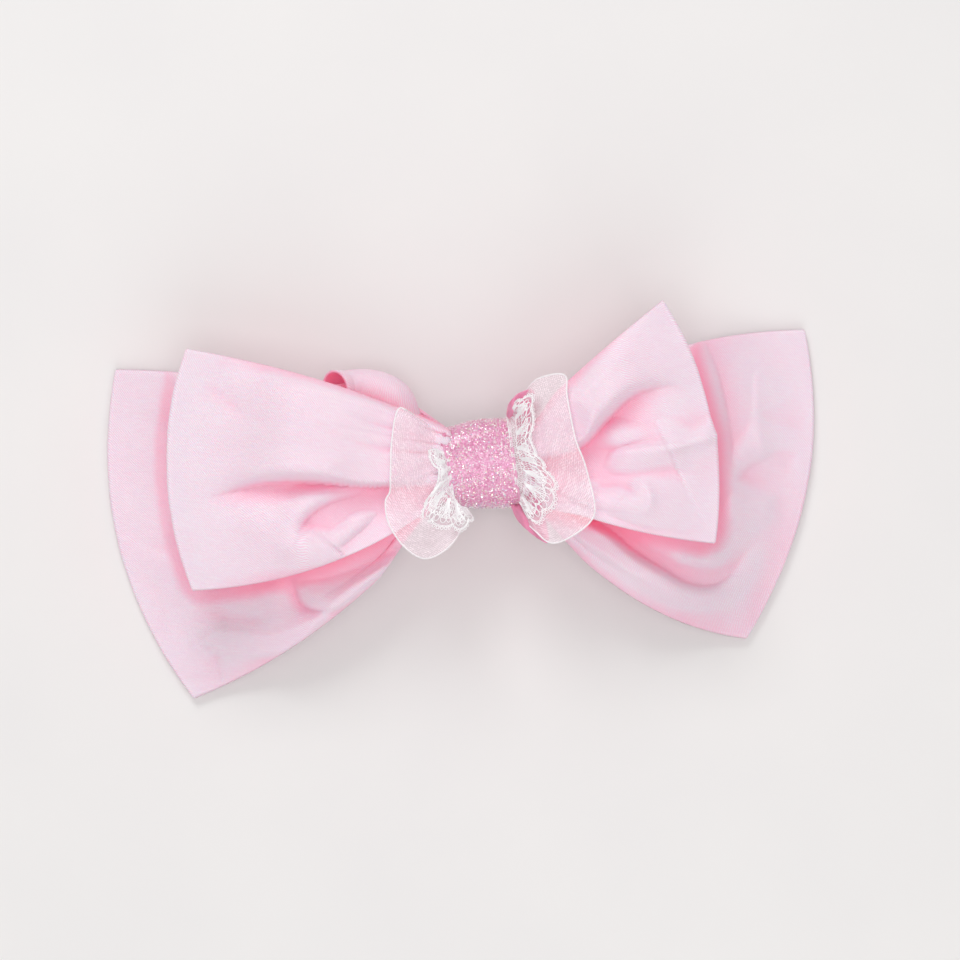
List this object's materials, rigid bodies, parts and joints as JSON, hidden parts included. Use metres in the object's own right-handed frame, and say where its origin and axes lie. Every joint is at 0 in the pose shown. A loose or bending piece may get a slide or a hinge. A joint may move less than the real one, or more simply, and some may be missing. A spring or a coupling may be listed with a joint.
{
  "type": "hair bow on a barrette",
  "caption": "Two-layer satin hair bow with gathered waist, organza and lace ruffles and a glitter knot, on a hinged French barrette.",
  "frame": {"origin": "middle of the flat underside of the closed clasp arm, on which the bow lies", "axes": "+X along the bow to its right loops, +Y to the upper edge as worn, +Z out of the front of the knot"},
  "size_m": [0.1783, 0.0983, 0.0369],
  "materials": {
    "satin_large": "pale pink twill satin, soft sheen",
    "satin_small": "pale pink twill satin, soft sheen",
    "satin_deep": "deeper pink satin ribbon with turned edges",
    "thread": "sewing thread",
    "organza": "sheer organza with a woven edge",
    "lace": "white net lace with a scalloped edge",
    "glitter": "pink ribbon covered with white and iridescent glitter flakes",
    "felt": "pale pink felt",
    "glue": "hot-melt glue, cloudy",
    "steel": "nickel-plated stamped steel",
    "spring_steel": "bright spring steel"
  },
  "bodies": {
    "bow": {"large_loop_left": "satin_large", "large_loop_right": "satin_large", "large_gather": "satin_large", "large_binding": "thread", "small_loop_left": "satin_small", "small_loop_right": "satin_small", "small_gather": "satin_small", "small_binding": "thread", "waist_ribbon": "satin_deep", "organza_ribbon": "organza", "lace_ribbon": "lace", "glitter_band": "glitter", "felt_backing": "felt", "glue_pad": "glue", "barrette_base": "steel", "tension_spring": "spring_steel", "spring_rivet": "steel", "hinge_pin": "steel", "catch_bridge": "steel", "catch_rivet": "steel"},
    "clasp_arm": {"clasp_arm": "steel"},
    "catch_tab_front": {"catch_tab_front": "spring_steel"},
    "catch_tab_back": {"catch_tab_back": "spring_steel"}
  },
  "joints": [
    {"name": "arm_hinge", "type": "hinge", "parent": "bow", "child": "clasp_arm", "pos_m": [-0.0335, 0, 0.004], "axis": [0, 1, 0], "range_deg": [0, 90]},
    {"name": "front_tab_pinch", "type": "hinge", "parent": "bow", "child": "catch_tab_front", "pos_m": [0.0335, -0.0029, 0.00705], "axis": [1, 0, 0], "range_deg": [0, 6], "stiffness_Nm_per_rad": 0.05},
    {"name": "back_tab_pinch", "type": "hinge", "parent": "bow", "child": "catch_tab_back", "pos_m": [0.0335, 0.0029, 0.00705], "axis": [-1, 0, 0], "range_deg": [0, 6]}
  ],
  "couplings": [
    {"joint": "back_tab_pinch", "follows": "front_tab_pinch", "ratio": 1}
  ]
}
